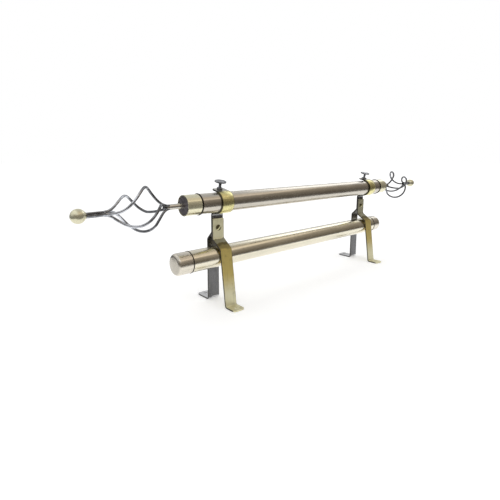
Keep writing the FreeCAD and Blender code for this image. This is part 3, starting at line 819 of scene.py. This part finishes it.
def joint_screw(side, metal):
    """Domed, slotted screw with a threaded end behind its nut."""
    name = f"{side}_joint_screw"
    low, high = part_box(name)
    centre = (low + high) / 2
    head = radius_of(name)
    seat = low.y + JOINT_HEAD_HEIGHT
    length = high.y - seat
    dome_height = JOINT_HEAD_HEIGHT - JOINT_HEAD_SKIRT

    def place(along, right, up):
        return Vector((centre.x + right, seat - along, centre.z + up))

    rows = [(-length, 0), (-length, JOINT_SHANK_RADIUS - THREAD_DEPTH)]
    rows += thread_rows(-length + JOINT_THREAD_STOP, -JOINT_THREAD_STOP, JOINT_SHANK_RADIUS)
    rows += [(0, JOINT_SHANK_RADIUS), (0, head)]
    for step in range(JOINT_DOME_STEPS):
        angle = math.radians(90 * step / JOINT_DOME_STEPS)
        rows.append((JOINT_HEAD_SKIRT + dome_height * math.sin(angle), head * math.cos(angle)))
    rows.append((JOINT_HEAD_HEIGHT, 0))
    relief = thread_relief(-length + JOINT_THREAD_FADE, -JOINT_THREAD_FADE)
    mesh = turned_mesh(f"{name}_domed", rows, place, segments=48, relief=relief)
    piece = add_piece(f"{name}_domed", mesh, metal, "pole_set", name)
    cut_slot(piece, Vector((centre.x, low.y, centre.z)), head)


def cut_slot(piece, face, head):
    """Cut the driver slot across a screw's head, with a bar whose middle lies on the head's face."""
    build = bmesh.new()
    bmesh.ops.create_cube(build, size=1)
    size = Vector((JOINT_SLOT_WIDTH, 2 * JOINT_SLOT_DEPTH, 4 * head))
    bmesh.ops.scale(build, vec=size, verts=build.verts)
    mesh = bpy.data.meshes.new("slot_cutter")
    build.to_mesh(mesh)
    build.free()
    cutter = bpy.data.objects.new("slot_cutter", mesh)
    cutter.location = face
    cutter.rotation_euler = (0, math.radians(JOINT_SLOT_ANGLE), 0)
    scene.collection.objects.link(cutter)
    cut = piece.modifiers.new("slot", "BOOLEAN")
    cut.operation = "DIFFERENCE"
    cut.solver = "EXACT"
    cut.object = cutter
    bpy.context.view_layer.update()
    shaped = piece.evaluated_get(bpy.context.evaluated_depsgraph_get())
    old = piece.data
    piece.data = bpy.data.meshes.new_from_object(shaped)
    piece.data.name = piece.name
    piece.modifiers.clear()
    bpy.data.meshes.remove(old)
    bpy.data.objects.remove(cutter)


# Studio


def add_stage(name, mesh, material):
    """Put a mesh in the scene as part of the studio."""
    mesh.materials.append(material)
    item = bpy.data.objects.new(name, mesh)
    scene.collection.objects.link(item)
    return item


def add_mirrored(name, mesh, material):
    """Put a mesh in the studio that only the metal's reflections show."""
    item = add_stage(name, mesh, material)
    item.visible_camera = False
    item.visible_diffuse = False
    item.visible_shadow = False
    item.visible_transmission = False


def flat_mesh(name, low_x, high_x, low_y, high_y, height):
    """A level rectangle."""
    mesh = bpy.data.meshes.new(name)
    corners = [(low_x, low_y), (high_x, low_y), (high_x, high_y), (low_x, high_y)]
    mesh.from_pydata([(x, y, height) for x, y in corners], [], [(0, 1, 2, 3)])
    return mesh


def dome_mesh(name):
    """A dome round the object."""

    def place(along, across, up):
        return Vector((across, up, along))

    return turned_mesh(name, arc_rows(0, 0, ROOM_RADIUS, 90, 0, ROOM_STEPS), place, segments=64)


def glow_material():
    """The room's own brightness by height: dark and warm on the front half, pale on the back half, and white
    in a window high on the left."""
    graph = surface("room_glow")
    graph.tree.nodes.remove(graph.shader)
    beside, depth, height = [graph.calc("DIVIDE", graph.axis(letter), ROOM_RADIUS) for letter in "XYZ"]
    front = graph.ramp(height, [(place, shade(ROOM_TINT, level)) for place, level in ROOM_FRONT])
    back = graph.ramp(height, [(place, shade(WHITE, level)) for place, level in ROOM_BACK])
    colour = graph.mix(graph.spread(depth, *ROOM_DIVIDE), front, back)
    on_left = graph.spread(beside, *WINDOW_SIDE)
    window = graph.calc("MULTIPLY", on_left, graph.spread(height, *WINDOW_HEIGHT))
    colour = graph.mix(window, colour, WHITE)
    emission = graph.add("ShaderNodeEmission", {"Color": colour}, 0)
    graph.feed(graph.tree.nodes["Material Output"].inputs["Surface"], emission)
    return graph.owner


def make_floor():
    """White floor that keeps the object's shadow."""
    graph = surface("pale_floor")
    lift = graph.calc("MULTIPLY", graph.seen_rays(), FLOOR_LIFT)
    graph.feed_shader(Emission_Color=WHITE, Emission_Strength=lift, Specular_IOR_Level=0.0)
    material = graph.finish(FLOOR_COLOUR, roughness=0.9, metallic=0.0)
    mesh = flat_mesh("floor", -FLOOR_REACH, FLOOR_REACH, -FLOOR_REACH, FLOOR_REACH, 0)
    add_stage("floor", mesh, material)


def make_room():
    """The dim room round a white table that the metal mirrors."""
    glow = glow_material()
    add_mirrored("dark_room", dome_mesh("dark_room"), glow)
    wall = ROOM_RADIUS
    for name, *sides in (
        ("beyond_front", -wall, wall, -wall, TABLE_FRONT),
        ("beyond_back", -wall, wall, TABLE_BACK, wall),
        ("beyond_left", -wall, TABLE_LEFT, TABLE_FRONT, TABLE_BACK),
        ("beyond_right", TABLE_RIGHT, wall, TABLE_FRONT, TABLE_BACK),
    ):
        add_mirrored(name, flat_mesh(name, *sides, CARD_HEIGHT), glow)


def make_world():
    """White surround, at a plain level for the light that it sheds."""
    graph = Graph(bpy.data.worlds.new("studio"), "Background")
    graph.feed_shader(Color=WHITE, Strength=graph.spread(graph.seen_rays(), 0.0, 1.0, WORLD_LEVEL, 1.0))
    scene.world = graph.owner


def make_lamp():
    """One large soft lamp overhead."""
    width, depth = LAMP_SIZE
    lamp = bpy.data.lights.new("overhead", "AREA")
    lamp.shape = "RECTANGLE"
    lamp.size = width
    lamp.size_y = depth
    lamp.energy = LAMP_RADIANCE * math.pi * width * depth
    overhead = bpy.data.objects.new("overhead", lamp)
    overhead.location = LAMP_PLACE
    scene.collection.objects.link(overhead)


make_camera()
make_floor()
make_room()
make_world()
make_lamp()
scene.view_settings.view_transform = "Standard"

upper_metal = drawn_metal("upper_pole_nickel", NICKEL, roughness=0.21)
lower_metal = drawn_metal("lower_pole_nickel", WARM_NICKEL, roughness=0.20)
# The caps' end faces carry painted shade.
cap_metal = drawn_metal("cap_nickel_plate", CAP_NICKEL, roughness=0.24, end_face_shade=shade(CAP_NICKEL, 0.55))
stem_metal = drawn_metal("stem_nickel", STEM_NICKEL, roughness=0.25)
champagne = drawn_metal("champagne_brass", CHAMPAGNE, roughness=0.22, metallic=0.86)
ball_metal = drawn_metal("ball_brass", shade(CHAMPAGNE, 0.88), roughness=0.27, metallic=0.86)
wire_metal = wire_steel()
screw_metal = dark_metal("dark_screw", shade(DARK_STEEL, 1.6), roughness=0.34)
seam_metal = dark_metal("seam_oxide", SEAM_DARK, roughness=0.45)
joint_metal = joint_screw_metal()
plug_dark = plug_plastic()

paint("upper_pole", upper_metal)
paint("lower_pole", lower_metal)
for side in SIDES:
    finishes = {
        "rear_strip": rear_strip_metal(side),
        "front_strip": front_strip_metal(side),
        "joint_screw": joint_metal,
        "joint_nut": screw_metal,
        "thumb_screw": screw_metal,
        "thumb_nut": screw_metal,
        "lower_cap": cap_metal,
        "ferrule": champagne,
        "end_plug": plug_dark,
        "finial_stem": stem_metal,
        "finial_collar": wire_metal,
        "finial_ball": ball_metal,
    }
    for number in range(WIRES_PER_CAGE):
        finishes[f"cage_wire_{number + 1}"] = wire_metal
    for part, material in finishes.items():
        paint(f"{side}_{part}", material)
    for part in ("rear_strip", "front_strip"):
        soften(f"{side}_{part}", STRIP_EDGE)
    for part in ("joint_nut", "thumb_nut"):
        soften(f"{side}_{part}", NUT_EDGE)
    finial(side, wire_metal, ball_metal, seam_metal)
    lower_cap(side, cap_metal, seam_metal)
    thumb_screw(side, screw_metal)
    joint_screw(side, joint_metal)
